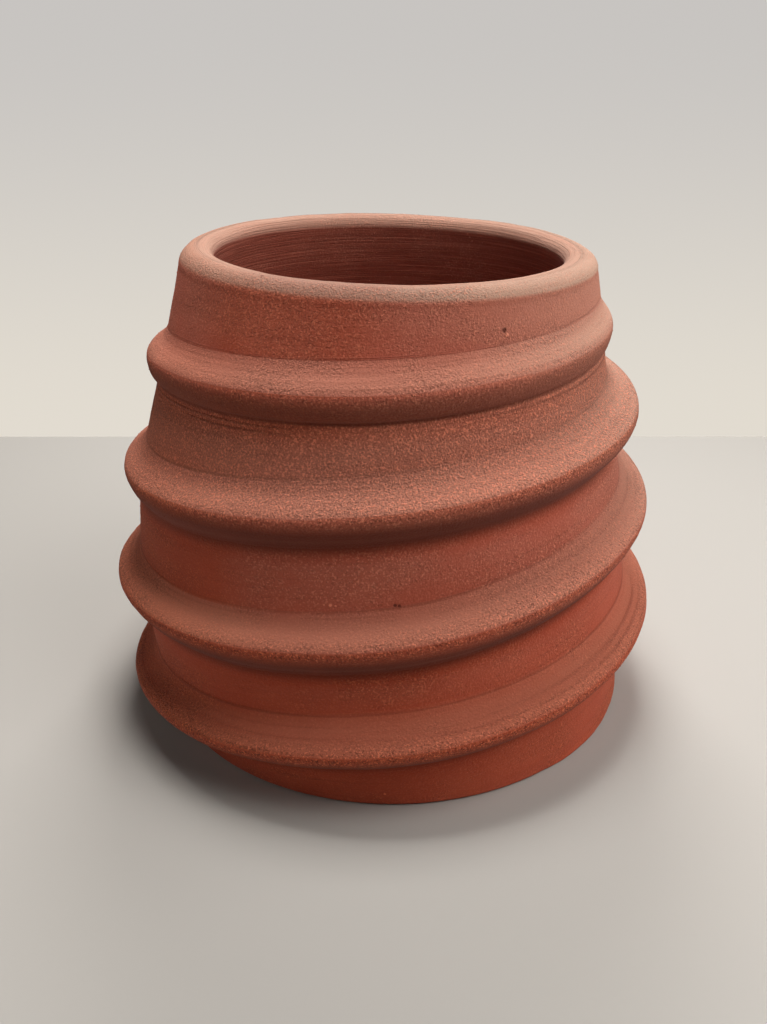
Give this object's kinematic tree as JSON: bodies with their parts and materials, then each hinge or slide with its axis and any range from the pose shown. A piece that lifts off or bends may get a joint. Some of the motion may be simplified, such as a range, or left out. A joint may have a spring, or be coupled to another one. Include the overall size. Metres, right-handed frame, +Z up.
{
  "type": "pot",
  "caption": "Barrel-shaped open pot of unglazed red clay, with a thick rounded lip, a flat foot and one raised cordon winding up its wall.",
  "frame": {"origin": "centre of the foot's flat face, where the pot stands", "axes": "+Z up through the mouth; -Y is the front that the picture shows; +X is to the right of that view"},
  "size_m": [0.1687, 0.1703, 0.1423],
  "materials": {
    "body_clay": "matte unglazed red-brown clay with fine grog",
    "ridge_clay": "matte unglazed red clay, paler and dustier where it is raised"
  },
  "bodies": {
    "root": {"floor_disc": "body_clay", "barrel_wall": "body_clay", "lip_coil": "ridge_clay", "cordon_length_1": "ridge_clay", "cordon_length_2": "ridge_clay", "cordon_length_3": "ridge_clay", "cordon_length_4": "ridge_clay"}
  },
  "joints": []
}
